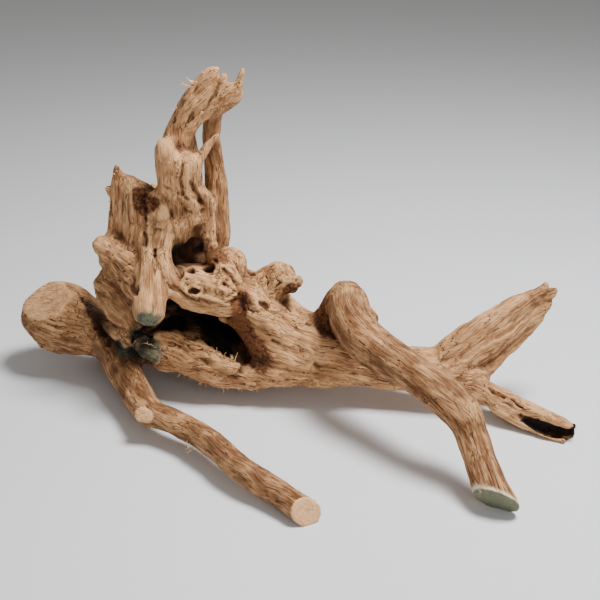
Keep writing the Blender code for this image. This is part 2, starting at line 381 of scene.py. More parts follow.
PIT, KNOT, CRACK, RIDGE = MarkKind
MARKS = (
    Mark(PIT, ((-123, 7, 176), (-121, 6, 168)), 5, 4),
    Mark(PIT, ((-126, 8, 182),), 4, 3),
    Mark(RIDGE, ((-122, 5, 168),), 3, 3),
    Mark(PIT, ((-111, 6, 172), (-109, 6, 169)), 4, 4),
    Mark(RIDGE, ((-111, 4, 163),), 3, 2),
    Mark(PIT, ((-113, -3, 134), (-111, -7, 127)), 2.6, 5),
    Mark(PIT, ((-86, -2, 115),), 4.2, 6),
    Mark(PIT, ((-74, 0, 117), (-70, 0, 118)), 3.2, 6),
    Mark(KNOT, ((-83, -12, 103),), 9, 3.5),
    Mark(KNOT, ((-59, -8, 106),), 9, 3.5),
    Mark(PIT, ((-83, -12, 104),), 3, 4),
    Mark(PIT, ((-59, -8, 108),), 2.6, 3.5),
    Mark(PIT, ((-30, -6, 90), (-27, -5, 86)), 3.5, 3),
    Mark(PIT, ((-9, 5, 80),), 2.5, 2.5),
    Mark(PIT, ((-126, -18, 106), (-128, -12, 100)), 6, 6),
    Mark(PIT, ((-39, 19, 105),), 4, 4),
    Mark(PIT, ((-66, 0, 124),), 3, 3),
    Mark(CRACK, ((-121, 3, 166), (-121, 1, 156), (-121, -1, 138)), 3, 3.5),
    Mark(CRACK, ((-88, -1, 204), (-90, -2, 192), (-89, -1, 180)), 2, 2),
    Mark(CRACK, ((-104, -2, 186), (-94, -3, 181), (-86, -1, 176)), 2, 2),
    Mark(CRACK, ((-83, 0, 188), (-77, 0, 177), (-75, 6, 168)), 2.5, 2.5),
    Mark(CRACK, ((-100, -12, 108), (-88, -15, 99), (-71, -15, 95), (-54, -10, 93)), 2.2, 2),
    Mark(CRACK, ((-60, -3, 118), (-51, -5, 109), (-46, -5, 99), (-46, -9, 84)), 3, 4),
    Mark(CRACK, ((-183, 48, 70), (-172, 37, 59), (-166, 27, 49), (-160, 16, 44)), 6, 8),
    Mark(CRACK, ((-176, 50, 70), (-166, 38, 66), (-156, 22, 62)), 5, 6),
    Mark(CRACK, ((150, -37, 30), (156, -41, 26), (164, -45, 26), (174, -51, 21)), 2, 3.5),
    Mark(CRACK, ((16, 4, 82), (20, 0, 74), (27, -4, 64)), 3, 3),
    Mark(CRACK, ((-98, 16, 228), (-90, 15, 242), (-80, 15, 254), (-70, 16, 262)), 1.6, 1.6),
    Mark(CRACK, ((-60, 17, 260), (-65, 16, 250), (-72, 14, 240)), 1.8, 2),
    Mark(KNOT, ((89, -109, 61),), 5, 2),
)


@dataclass(frozen=True)
class Dent:
    """A hollow that is pressed into the surface along a route."""

    bends: tuple[Bend, ...]


DENTS = (
    Dent(((171, -53, 14, 2), (178, -56, 12, 3.5), (186, -60, 9.5, 5), (196, -63, 7, 6), (206, -65, 6.5, 6.5),
          (220, -69, 6.5, 7), (234, -74, 6.5, 7.5))),
    Dent(((-104, -14, 84, 4), (-100, -6, 78, 7), (-92, 0, 70, 9))),
    Dent(((-12, -4, 98, 3), (-6, 0, 95, 4), (-1, 4, 93, 4))),
    Dent(((-100, -8, 127, 3), (-94, 0, 128, 5), (-88, 10, 127, 7), (-80, 16, 126, 6))),
    Dent(((-168, 30, 76, 4), (-160, 26, 66, 5), (-150, 12, 56, 4))),
)


def press(points: np.ndarray, dent: Dent) -> np.ndarray:
    """Press a dent into the surface.

    Args:
        points: places in metres.
        dent: the hollow.

    Returns:
        The places, with none left inside the dent's route.
    """
    route = eased_route(dent.bends, 1.5)
    spots = place_rows(route)
    pressed = points.copy()
    for spot, radius in zip(spots, route[:, 3] * MM):
        offset = pressed - spot
        distance = np.linalg.norm(offset, axis=1)
        inside = distance < radius
        pressed[inside] = spot + offset[inside] * (radius / np.maximum(distance[inside], 1e-6))[:, None]
    return pressed


def away_from(points: np.ndarray, spots: tuple[Point, ...]) -> np.ndarray:
    """How far each point lies from a chain of spots.

    Args:
        points: places in metres.
        spots: layout millimetres.

    Returns:
        Distances in millimetres.
    """
    chain = [np.array(place(spot)) for spot in spots]
    if len(chain) == 1:
        return np.linalg.norm(points - chain[0], axis=1) / MM
    best = np.full(len(points), 1e9)
    for start, end in zip(chain, chain[1:]):
        step = end - start
        part = np.clip((points - start) @ step / (step @ step), 0.0, 1.0)
        best = np.minimum(best, np.linalg.norm(points - start - part[:, None] * step, axis=1))
    return best / MM


class Tint(Enum):
    """The colours that age leaves on bare wood, and painted shade: near black in hollows, grey-green with a
    painted reflection where faces turn down.
    """

    RUST = "rust"
    HOLLOW_SHADE = "soot"
    STAIN = "stain"
    REFLECTED_SHADE = "grey"

    @property
    def edge(self) -> float:
        """Where its full strength starts, as a share of a patch's width."""
        return 0.8 if self is Tint.RUST else 0.55


@dataclass(frozen=True)
class Patch:
    """A patch of colour along a chain of spots: some are colours that age left, some painted shade."""

    tint: Tint
    spots: tuple[Point, ...]     # layout millimetres
    width: float                 # millimetres, to either side
    strength: float = 1.0
    shut_in: bool = False        # only where wood shuts the surface in


RUST, HOLLOW_SHADE, STAIN, REFLECTED_SHADE = Tint
PATCHES = (
    # HOLLOW_SHADE patches are painted shade: near black in the hollows, holes and deep cracks
    Patch(HOLLOW_SHADE, ((-114, 24, 66), (-100, 32, 62), (-82, 34, 56), (-62, 32, 50)), 34, 1.0, True),
    Patch(HOLLOW_SHADE, ((-114, 52, 46), (-96, 46, 44), (-78, 34, 40), (-62, 24, 38)), 20, 1.0, True),
    Patch(HOLLOW_SHADE, ((-112, -2, 72), (-104, -8, 78), (-96, -6, 72)), 12),
    Patch(HOLLOW_SHADE, ((-100, 8, 128), (-92, 16, 128)), 10),
    Patch(HOLLOW_SHADE, ((-178, 46, 66), (-164, 28, 54), (-150, 14, 54)), 10, 0.8),
    Patch(HOLLOW_SHADE, ((-148, 14, 40), (-134, 8, 40), (-120, 4, 44)), 9, 0.8),
    Patch(HOLLOW_SHADE, ((173, -53, 14), (186, -57, 9), (196, -58, 7), (205, -60, 6)), 8, 1.0, True),
    Patch(RUST, ((-47, -6, 92), (-50, -4, 78), (-45, -7, 66), (-38, -11, 55), (-30, -15, 47)), 9),
    Patch(RUST, ((-50, 4, 76), (-46, 4, 62), (-38, -2, 50)), 12),
    # Painted shade: red-brown under the bulge, only where wood shuts the surface in
    Patch(RUST, ((-92, -2, 92), (-76, -2, 88), (-60, -2, 84)), 9, 0.8, True),
    Patch(RUST, ((-50, 13, 43), (-31, -15, 44)), 11, 0.9),
    Patch(RUST, ((-78, 10, 132), (-68, 8, 124)), 11, 0.9),
    Patch(RUST, ((12, 8, 82), (20, 3, 74), (24, 0, 64)), 11),
    Patch(RUST, ((-124, 7, 180), (-122, 5, 166), (-110, 6, 171)), 7),
    Patch(RUST, ((-128, -8, 102), (-124, -6, 94)), 9),
    Patch(RUST, ((-6, 2, 97),), 9),
    Patch(STAIN, ((-196, 26, 30), (-222, 32, 36)), 26, 0.9),
    Patch(STAIN, ((-161, 6, 92), (-152, 4, 103), (-144, 2, 84)), 22, 0.8),
    Patch(STAIN, ((-141, 18, 190), (-124, 18, 186), (-116, 12, 178)), 9, 0.8),
    Patch(STAIN, ((-69, 46, 215), (-68, 50, 190)), 16, 0.9),
    Patch(STAIN, ((-99, 20, 214), (-92, 18, 234), (-84, 16, 248)), 7, 0.7),
    Patch(STAIN, ((-72, 8, 196), (-70, 14, 176)), 12, 0.7),
    Patch(STAIN, ((196, 6, 96), (186, 2, 90)), 12, 0.7),
    # REFLECTED_SHADE patches are painted shade with a painted grey-green reflection, under the thumb and at
    # the crown's base
    Patch(REFLECTED_SHADE, ((-118, -36, 86), (-119, -34, 74)), 15),
    Patch(REFLECTED_SHADE, ((-142, 8, 46), (-132, 8, 50), (-122, -6, 46)), 15, 0.9),
    Patch(HOLLOW_SHADE, ((-136, 4, 48), (-126, -4, 50)), 9, 0.85),
)


@dataclass(frozen=True)
class SawCut:
    """A sawn end: a point on its face, the way it looks and its radius."""

    spot: Point
    facing: Point
    radius: float
    freshness: float = 1.0       # how smooth and pale the cut still is
    shade_grey: float = 0.0          # how far its face is painted in grey-green shade with a painted reflection, inside a painted highlight on its edge


SAW_CUTS = (
    SawCut((-206, 42, 69), (-0.34, -0.38, 0.86), 44.0, 0.5),
    SawCut((7, -167, 11), (0.40, -0.85, 0.33), 18.0),
    SawCut((-121, -72, 26), (-0.10, -0.93, 0.35), 9.0),
    # The arch leg's end: its face painted in shade with a grey-green reflection, its edge with a painted
    # highlight
    SawCut((136, -160, 13), (-0.35, -0.79, -0.50), 22.0, 0.95, 1.0),
)


def beside_cut(points: np.ndarray, cut: SawCut) -> tuple[np.ndarray, np.ndarray]:
    """How far each point is off a sawn face's plane, in millimetres, and if it is within its radius."""
    facing = np.array(Vector(cut.facing).normalized())
    offset = (points - np.array(place(cut.spot))) / MM
    return np.abs(offset @ facing), np.linalg.norm(offset, axis=1) < cut.radius


def on_cut(points: np.ndarray, cut: SawCut) -> np.ndarray:
    """How far each point belongs to a sawn face, from 0 to 1."""
    height, within = beside_cut(points, cut)
    return smooth_step(1.7, 0.7, height) * within


def sawn_share(points: np.ndarray) -> np.ndarray:
    """How far each point is smoothed by a saw cut, from 0 to 1."""
    return np.max([on_cut(points, cut) * cut.freshness for cut in SAW_CUTS], axis=0)


def lit_cut_rim(points: np.ndarray) -> np.ndarray:
    """How far each point lies on the painted highlight at the edge of a saw cut in painted shade, from 0 to
    1.

    Args:
        points: places in metres.

    Returns:
        One share a point.
    """
    lit_rim = np.zeros(len(points))
    for cut in SAW_CUTS:
        height, within = beside_cut(points, cut)
        edge = smooth_step(0.4, 1.1, height) * smooth_step(3.4, 1.9, height)
        lit_rim = np.maximum(lit_rim, edge * (within * cut.shade_grey))
    return lit_rim


# ---------------------------------------------------------------- the body


def read_rows(items: bpy.types.bpy_prop_collection, name: str, width: int,
              kind: type = float) -> np.ndarray:
    """One property of a mesh's parts.

    Args:
        items: its vertices, edges or normals.
        name: the property.
        width: how many numbers it has.
        kind: the type of those numbers.

    Returns:
        The numbers, one part to a row.
    """
    flat = np.empty(len(items) * width, dtype=kind)
    items.foreach_get(name, flat)
    return flat.reshape(-1, width)


def mesh_points(mesh: bpy.types.Mesh) -> np.ndarray:
    """The mesh's vertices, one to a row."""
    return read_rows(mesh.vertices, "co", 3)


def mesh_normals(mesh: bpy.types.Mesh) -> np.ndarray:
    """The mesh's vertex normals, one to a row."""
    return read_rows(mesh.vertex_normals, "vector", 3)


def mesh_edges(mesh: bpy.types.Mesh) -> np.ndarray:
    """The mesh's edges as pairs of vertex numbers."""
    return read_rows(mesh.edges, "vertices", 2, np.int64)


def move_points(mesh: bpy.types.Mesh, points: np.ndarray) -> None:
    """Move the mesh's vertices to these places."""
    mesh.vertices.foreach_set("co", points.ravel())
    mesh.update()


def finish_mesh(shape: bmesh.types.BMesh, name: str) -> bpy.types.Mesh:
    """Make a mesh from a shape.

    Args:
        shape: the shape, which is freed.
        name: the mesh's name.

    Returns:
        The mesh.
    """
    mesh = bpy.data.meshes.new(name)
    shape.to_mesh(mesh)
    shape.free()
    return mesh


def relax(points: np.ndarray, edges: np.ndarray, rounds: int) -> np.ndarray:
    """Draw each point towards the middle of its neighbours.

    Args:
        points: places or values, one to a row.
        edges: pairs of row numbers.
        rounds: how many times.

    Returns:
        The relaxed rows.
    """
    count = np.bincount(edges.ravel(), minlength=len(points))[:, None]
    eased = points.copy()
    for _ in range(rounds):
        total = np.stack([np.bincount(edges[:, 0], eased[edges[:, 1], axis], len(points))
                          + np.bincount(edges[:, 1], eased[edges[:, 0], axis], len(points))
                          for axis in range(points.shape[1])], axis=1)
        eased = 0.4 * eased + 0.6 * total / count
    return eased


def sheltered(mesh: bpy.types.Mesh, points: np.ndarray, normals: np.ndarray,
              reach: float = 0.045) -> np.ndarray:
    """How far each point is shut in by the wood around it, from 0 in the open to 1.

    Args:
        mesh: the surface.
        points: its vertices, in metres.
        normals: their normals.
        reach: how far away wood still counts, in metres.

    Returns:
        One share a point.
    """
    faces = [tuple(face.vertices) for face in mesh.polygons]
    tree = BVHTree.FromPolygons([tuple(row) for row in points], faces)
    golden = math.pi * (3.0 - math.sqrt(5.0))
    rays = []
    for number in range(SHELTER_RAYS):
        rise = 1 - (number + 0.5) / SHELTER_RAYS
        flat = Vector((math.cos(golden * number), math.sin(golden * number), 0.0))
        rays.append(flat * math.sqrt(1 - rise ** 2) + Vector((0.0, 0.0, rise)))
    shut = np.zeros(len(points))
    for index, (point, normal) in enumerate(zip(map(Vector, points), map(Vector, normals))):
        turn = normal.to_track_quat("Z", "Y")
        start = point + normal * RAY_LIFT
        for ray in rays:
            distance = tree.ray_cast(start, turn @ ray, reach)[3]
            if distance is not None:
                shut[index] += 1.0 - 0.6 * distance / reach
    return shut / len(rays)


def drop_crumbs(mesh: bpy.types.Mesh) -> None:
    """Keep only the mesh's largest connected part.

    Args:
        mesh: changed in place.
    """
    edges = mesh_edges(mesh)
    label = np.arange(len(mesh.vertices))
    while True:
        lower = label.copy()
        np.minimum.at(lower, edges[:, 0], label[edges[:, 1]])
        np.minimum.at(lower, edges[:, 1], label[edges[:, 0]])
        lower = lower[lower[lower]]
        if np.array_equal(lower, label):
            break
        label = lower
    loose = label != np.bincount(label).argmax()
    if loose.any():
        shape = bmesh.new()
        shape.from_mesh(mesh)
        crumbs = [vert for vert, is_loose in zip(shape.verts, loose) if is_loose]
        bmesh.ops.delete(shape, geom=crumbs, context="VERTS")
        shape.to_mesh(mesh)
        shape.free()


def apply_modifiers(piece: bpy.types.Object) -> None:
    """Bake an object's modifiers into its mesh.

    Args:
        piece: the object, changed in place.
    """
    evaluated = piece.evaluated_get(bpy.context.evaluated_depsgraph_get())
    mesh = bpy.data.meshes.new_from_object(evaluated)
    piece.modifiers.clear()
    old = piece.data
    piece.data = mesh
    bpy.data.meshes.remove(old)


@dataclass(frozen=True)
class ReliefLayer:
    """One size of pattern that is carved along the grain."""

    scale: Point                 # how many of its features lie in a metre, along and across
    smooth: float                # its height on the smoothest wood, in millimetres
    rugged: float                # how much more the most rugged wood adds

    def height(self, ruggedness: np.ndarray) -> np.ndarray:
        """Its height in millimetres on wood of each ruggedness."""
        return self.smooth + self.rugged * ruggedness


FOLDS = ReliefLayer((18, 85, 85), 0.3, 1.5)
FLUTES = ReliefLayer((28, 190, 190), 0.12, 0.95)
FIBRES = ReliefLayer((42, 360, 360), 0.2, 1.1)
CHECKS = ReliefLayer((24, 150, 150), 0.5, 1.3)


@dataclass
class RootBody:
    """The whole root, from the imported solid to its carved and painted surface."""

    fuse_voxel: float = 1.05                 # millimetres
    kept_triangles: int = 194000
    prongs: tuple[tuple[Bend, ...], ...] = (
        ((-141, 20, 184, 5), (-142, 20, 192, 3), (-142, 19, 197, 1)),
        ((-146, 21, 172, 5), (-152, 21, 178, 2)),
        ((-70, 22, 262, 4), (-64, 22, 269, 3), (-60, 21, 270, 1)),
        ((-102, 6, 214, 6), (-103, 8, 219, 4)),
        ((-24, 16, 104, 6), (-17, 14, 112, 4)),
        ((-14, 13, 108, 5), (-8, 12, 111, 3)),
        ((-3, 8, 103, 5), (2, 6, 102, 3)),
        ((52, -28, 92, 5), (58, -30, 90, 3), (60, -30, 86, 2)),
        ((-62, 21, 250, 5), (-58, 20, 259, 3.5), (-56, 20, 266, 2)),
        ((190, 4, 92, 6), (196, 4, 99, 4), (197, 4, 104, 2)),
        ((196, 5, 90, 6), (203, 4, 95, 4), (206, 4, 98, 2)),
    )
    ridges: tuple[tuple[Bend, ...], ...] = (
        ((-112, 10, 180, 6), (-107, 8, 172, 7), (-106, 6, 163, 7), (-108, 6, 152, 6)),
        ((-90, 5, 180, 7), (-84, 6, 172, 7), (-78, 8, 166, 7)),
        ((-118, 4, 54, 7), (-102, 1, 54, 7), (-88, -4, 51, 7), (-76, -8, 46, 7), (-64, -11, 38, 7),
         (-50, -12, 32, 6)),
        ((-96, 0, 90, 7), (-88, 2, 88, 7), (-76, 4, 86, 7)),
        ((-108, -2, 132, 5), (-106, -6, 120, 6), (-98, -8, 108, 6), (-86, -10, 99, 6), (-70, -10, 95, 6),
         (-56, -7, 92, 6)),
        ((-92, -4, 110, 7), (-78, -6, 107, 8), (-62, -4, 104, 8), (-52, -3, 96, 7)),
        ((-44, 2, 96, 5), (-32, -4, 84, 6), (-20, -10, 68, 6), (-6, -12, 54, 5)),
        ((-150, 6, 128, 5), (-138, 0, 118, 5), (-130, -4, 106, 5)),
        ((-160, 24, 56, 6), (-152, 14, 56, 7), (-148, 8, 50, 5)),
        ((-146, 14, 58, 7), (-142, 4, 54, 6), (-140, -2, 48, 4)),
        ((-132, 2, 52, 8), (-124, -4, 46, 7), (-114, -6, 40, 6)),
    )
    noise: SolidNoise = field(default_factory=SolidNoise)

    def rough_shape(self) -> bpy.types.Mesh:
        """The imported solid, merged, with its prongs and ridges grown on.

        Returns:
            The mesh, in overlapping bodies.
        """
        shape = bmesh.new()
        shape.from_mesh(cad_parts[NODE].data)
        bmesh.ops.remove_doubles(shape, verts=shape.verts, dist=0.01 * MM)
        for bends in self.prongs + self.ridges:
            grow_strand(shape, bends)
        bmesh.ops.recalc_face_normals(shape, faces=shape.faces)
        return finish_mesh(shape, "root_body")

    def relief(self, points: np.ndarray, grain: GrainField) -> np.ndarray:
        """How far the surface stands proud at each point, in millimetres.

        Args:
            points: places in metres.
            grain: the grain field there.

        Returns:
            Heights, below 0 where the wood has worn away.
        """
        noise = self.noise
        rugged = grain.ruggedness
        height = noise.layered(points * 42.0 + 7.0, 2) * (0.7 + 0.5 * rugged)
        height += grain.blend(noise, FOLDS.scale) * FOLDS.height(rugged)
        height += grain.blend(noise, FLUTES.scale) * FLUTES.height(rugged)
        height += (0.3 - np.abs(grain.blend(noise, FIBRES.scale))) * FIBRES.height(rugged)
        lumps = noise.layered(points * 78.0, 2)
        height += lumps * 1.5 * rugged
        crumbs = noise.layered(points * 230.0 + 31.0, 2)
        height += crumbs * rugged * rugged * 0.5
        checks = smooth_step(0.075, 0.0, np.abs(grain.blend(noise, CHECKS.scale)))
        opened = smooth_step(0.05, 0.35, noise(points * 33.0 + 55.0))
        opened = opened * smooth_step(0.2, 0.5, rugged)
        height -= checks * opened * CHECKS.height(rugged)
        eaten = smooth_step(0.5, 0.7, noise(points * 150.0 + 90.0))
        height -= eaten * smooth_step(0.7, 0.95, rugged) * 2.0
        return height

    def carve_marks(self, points: np.ndarray, height: np.ndarray) -> np.ndarray:
        """Add the marks that stand in known places.

        Args:
            points: places in metres.
            height: the surface's height so far, in millimetres.

        Returns:
            The height with the marks.
        """
        places = points + self.noise.sway(points, 130.0, (3.0, 29.0, 71.0)) * 2.2 * MM
        ragged = self.noise.layered(points * 260.0 + 5.0, 2)
        for mark in MARKS:
            away = away_from(places, mark.spots) * (1 + 0.3 * ragged)
            if mark.kind is MarkKind.KNOT:
                ring = np.cos(away / mark.width * 3.0 * math.pi)
                ring = ring * smooth_step(mark.width * 1.3, mark.width * 0.4, away)
                height = height + ring * mark.depth * 0.45
            elif mark.kind is MarkKind.RIDGE:
                height = height + mark.depth * smooth_step(mark.width * 1.3, 0.0, away)
            elif mark.kind is MarkKind.CRACK:
                height = height - mark.depth * np.clip(1.0 - away / mark.width, 0.0, 1.0)
            else:
                height = height - mark.depth * smooth_step(mark.width * 1.2, mark.width * 0.25, away)
        return height

    def carve(self, mesh: bpy.types.Mesh) -> None:
        """Move the surface to its relief.

        Args:
            mesh: the fused body, changed in place.
        """
        points = mesh_points(mesh)
        for dent in DENTS:
            points = press(points, dent)
        move_points(mesh, points)
        normals = mesh_normals(mesh)
        grain = measure_grain(points, self.noise)
        height = self.carve_marks(points, self.relief(points, grain))
        sawn = sawn_share(points)
        saw_marks = 0.12 * np.sin(points @ np.array((2600.0, 1400.0, 900.0)))
        height = height * (1 - sawn) + saw_marks * sawn
        grounded = smooth_step(2.5, 0.5, points[:, 2] / MM)
        height = height * (1 - grounded)
        move_points(mesh, points + normals * height[:, None] * MM)

    def keep_inside(self, mesh: bpy.types.Mesh) -> None:
        """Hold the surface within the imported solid's box."""
        low, high = np.array(CAD_BOX[0]), np.array(CAD_BOX[1])
        move_points(mesh, np.clip(mesh_points(mesh), low + BOX_MARGIN, high - BOX_MARGIN))

    def paint(self, mesh: bpy.types.Mesh) -> None:
        """Store the grain, the relief, the hollows, the age colours and the painted shade and highlight on
        the surface.

        Args:
            mesh: the finished body, changed in place.
        """
        points = mesh_points(mesh)
        normals = mesh_normals(mesh)
        edges = mesh_edges(mesh)
        grain = measure_grain(points, self.noise)
        fine = relax(points, edges, 6)
        broad = relax(fine, edges, 60)
        fine_relief = np.einsum("ij,ij->i", points - fine, normals) / MM
        broad_relief = np.einsum("ij,ij->i", fine - broad, normals) / MM
        # How shut in each point is, from ray casts: it sets the painted shade in hollows
        shelter = relax(sheltered(mesh, points, normals)[:, None], edges, 3)[:, 0]
        tints = {tint: np.zeros(len(points)) for tint in Tint}
        ragged = self.noise.layered(points * 120.0 + 3.0, 3)
        for patch in PATCHES:
            away = away_from(points, patch.spots) * (1 + 0.3 * ragged)
            cover = patch.strength * smooth_step(patch.width, patch.width * patch.tint.edge, away)
            if patch.shut_in:
                cover = cover * smooth_step(0.2, 0.42, shelter)
            tints[patch.tint] = np.maximum(tints[patch.tint], cover)
        # Pits and cracks painted red-brown: partly stain, partly painted shade in the recess
        for mark in MARKS:
            if mark.kind in (MarkKind.PIT, MarkKind.CRACK):
                away = away_from(points, mark.spots)
                cover = smooth_step(mark.width * 1.1, mark.width * 0.4, away)
                tints[Tint.RUST] = np.maximum(tints[Tint.RUST], 0.8 * cover)
        for cut in SAW_CUTS:
            # Painted grey-green shade and reflection on the face of a saw cut in shade
            tints[Tint.REFLECTED_SHADE] = np.maximum(tints[Tint.REFLECTED_SHADE], cut.shade_grey * on_cut(points, cut))
        sawn = sawn_share(points)
        stain = np.maximum(grain.stain, tints[Tint.STAIN]) * (1 - sawn)
        store(mesh, "grain", grain.first)
        store(mesh, "next_grain", grain.second)
        # The third channel is painted near-black shade in hollows and holes
        store(mesh, "age", np.stack([stain, tints[Tint.RUST] * (1 - sawn), tints[Tint.HOLLOW_SHADE]], axis=1))
        # Relief heights that make ridges paler and creases darker, partly painted highlight and shade, and
        # the sawn share
        store(mesh, "relief_and_sawn", np.stack([fine_relief, broad_relief, sawn], axis=1))
        store(mesh, "grain_share", grain.share)
        # Shut-in share for painted shade, painted grey-green shade and reflection, and the painted highlight
        # on a cut's edge
        store(mesh, "shelter", np.stack([shelter, tints[Tint.REFLECTED_SHADE], lit_cut_rim(points)], axis=1))

    def build(self) -> bpy.types.Object:
        """Make the root's body.

        Returns:
            The finished object.
        """
        piece = show("root_body", self.rough_shape())
        fuse = piece.modifiers.new("fuse", "REMESH")
        fuse.mode = "VOXEL"
        fuse.voxel_size = self.fuse_voxel * MM
        soften = piece.modifiers.new("soften", "SMOOTH")
        soften.factor = 0.5
        soften.iterations = 6
        apply_modifiers(piece)
        self.carve(piece.data)
        self.keep_inside(piece.data)
        thin = piece.modifiers.new("thin", "DECIMATE")
        thin.ratio = min(1.0, self.kept_triangles / (2 * len(piece.data.polygons)))
        apply_modifiers(piece)
        drop_crumbs(piece.data)
        self.keep_inside(piece.data)
        self.paint(piece.data)
        piece.data.shade_smooth()
        piece.data.materials.append(DryWood().build())
        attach(piece, "root")
        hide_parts(NODE)
        return piece


def store(mesh: bpy.types.Mesh, name: str, values: np.ndarray) -> None:
    """Store values on a mesh's vertices.

    Args:
        mesh: the mesh.
        name: the attribute's name.
        values: one number or one row of three a vertex.
    """
    if values.ndim == 1:
        layer = mesh.attributes.new(name, "FLOAT", "POINT")
        layer.data.foreach_set("value", values.astype(np.float32))
    else:
        layer = mesh.attributes.new(name, "FLOAT_VECTOR", "POINT")
        layer.data.foreach_set("vector", values.astype(np.float32).ravel())


# ---------------------------------------------------------------- finishes


def linear(red: int, green: int, blue: int) -> tuple[float, float, float, float]:
    """A screen colour, each part from 0 to 255, as the linear colour that shaders take."""
    parts = [part / 255 for part in (red, green, blue)]
    return (*[part / 12.92 if part <= 0.04045 else ((part + 0.055) / 1.055) ** 2.4 for part in parts], 1.0)


class NodeSheet:
    """A short way to lay out and wire shader nodes."""

    def __init__(self, tree: bpy.types.NodeTree) -> None:
        """Start on a material's or a group's node tree."""
        self.tree = tree

    def node(self, kind: str, inputs: dict[int | str, Source] | None = None,
             **settings: object) -> bpy.types.Node:
        """Add a node.

        Args:
            kind: its type.
            inputs: what each socket takes: an output socket to wire, or a value.
            settings: its properties.

        Returns:
            The node.
        """
        made = self.tree.nodes.new(kind)
        for name, value in settings.items():
            setattr(made, name, value)
        for name, value in (inputs or {}).items():
            if isinstance(value, bpy.types.NodeSocket):
                self.tree.links.new(value, made.inputs[name])
            else:
                made.inputs[name].default_value = value
        return made

    def math(self, operation: str, first: Source, second: Source = 0.0) -> bpy.types.NodeSocket:
        """A sum, product or other step on two values, each a socket or a number."""
        return self.node("ShaderNodeMath", {0: first, 1: second}, operation=operation).outputs[0]

    def times(self, first: Source, second: Source) -> bpy.types.NodeSocket:
        """The product of two values."""
        return self.math("MULTIPLY", first, second)

    def plus(self, first: Source, second: Source) -> bpy.types.NodeSocket:
        """The sum of two values."""
        return self.math("ADD", first, second)

    def noise(self, at: Source, scale: float, detail: float = 2.0) -> bpy.types.NodeSocket:
        """Noise in space, from 0 to 1, with scale features to a metre and detail finer sizes."""
        inputs = {"Vector": at, "Scale": scale, "Detail": detail}
        return self.node("ShaderNodeTexNoise", inputs).outputs["Fac"]

    def ramp(self, value: Source, low: float, high: float, to_low: float = 0.0,
             to_high: float = 1.0) -> bpy.types.NodeSocket:
        """Ease a value from one range to another, held at both ends.

        Args:
            value: a socket.
            low: where the range starts.
            high: where it ends.
            to_low: the result at low.
            to_high: the result at high.

        Returns:
            The result's socket.
        """
        inputs = {"Value": value, "From Min": low, "From Max": high, "To Min": to_low, "To Max": to_high}
        ramp = self.node("ShaderNodeMapRange", inputs, interpolation_type="SMOOTHSTEP")
        return ramp.outputs["Result"]

    def mix(self, share: Source, first: Source, second: Source) -> bpy.types.NodeSocket:
        """The first colour with a share of the second mixed in."""
        return self.node("ShaderNodeMix", {0: share, 6: first, 7: second}, data_type="RGBA").outputs[2]


def grain_group() -> bpy.types.NodeTree:
    """The grain of weathered wood, eased from one limb's grain into the next.

    Returns:
        A group from the grain's places to its bands, fibres and splits, each from 0 to 1.
    """
    name = "weathered_grain"
    if name in bpy.data.node_groups:
        return bpy.data.node_groups[name]
    group = bpy.data.node_groups.new(name, "ShaderNodeTree")
    interface = group.interface
    for label in ("Grain", "Next Grain"):
        interface.new_socket(label, in_out="INPUT", socket_type="NodeSocketVector")
    interface.new_socket("Share", in_out="INPUT", socket_type="NodeSocketFloat")
    for label in ("Bands", "Fibres", "Splits"):
        interface.new_socket(label, in_out="OUTPUT", socket_type="NodeSocketFloat")
    sheet = NodeSheet(group)
    given = sheet.node("NodeGroupInput")
    result = sheet.node("NodeGroupOutput")
    layers = (("Bands", (36.0, 210.0, 210.0), 3.0), ("Fibres", (95.0, 850.0, 850.0), 2.0),
              ("Splits", (18.0, 300.0, 300.0), 1.0))
    for label, scale, detail in layers:
        values = []
        for source in ("Grain", "Next Grain"):
            stretched = sheet.node("ShaderNodeVectorMath", {0: given.outputs[source], 1: scale},
                                   operation="MULTIPLY")
            noise = sheet.node("ShaderNodeTexNoise", {"Vector": stretched.outputs[0], "Scale": 1.0,
                                                      "Detail": detail, "Roughness": 0.55})
            values.append(noise.outputs["Fac"])
        blended = sheet.node("ShaderNodeMix", {0: given.outputs["Share"], 2: values[0], 3: values[1]})
        value = blended.outputs[0]
        if label == "Splits":
            away = sheet.math("ABSOLUTE", sheet.math("SUBTRACT", value, 0.5))
            value = sheet.ramp(away, 0.0, 0.024, 1.0, 0.0)
        group.links.new(value, result.inputs[label])
    return group


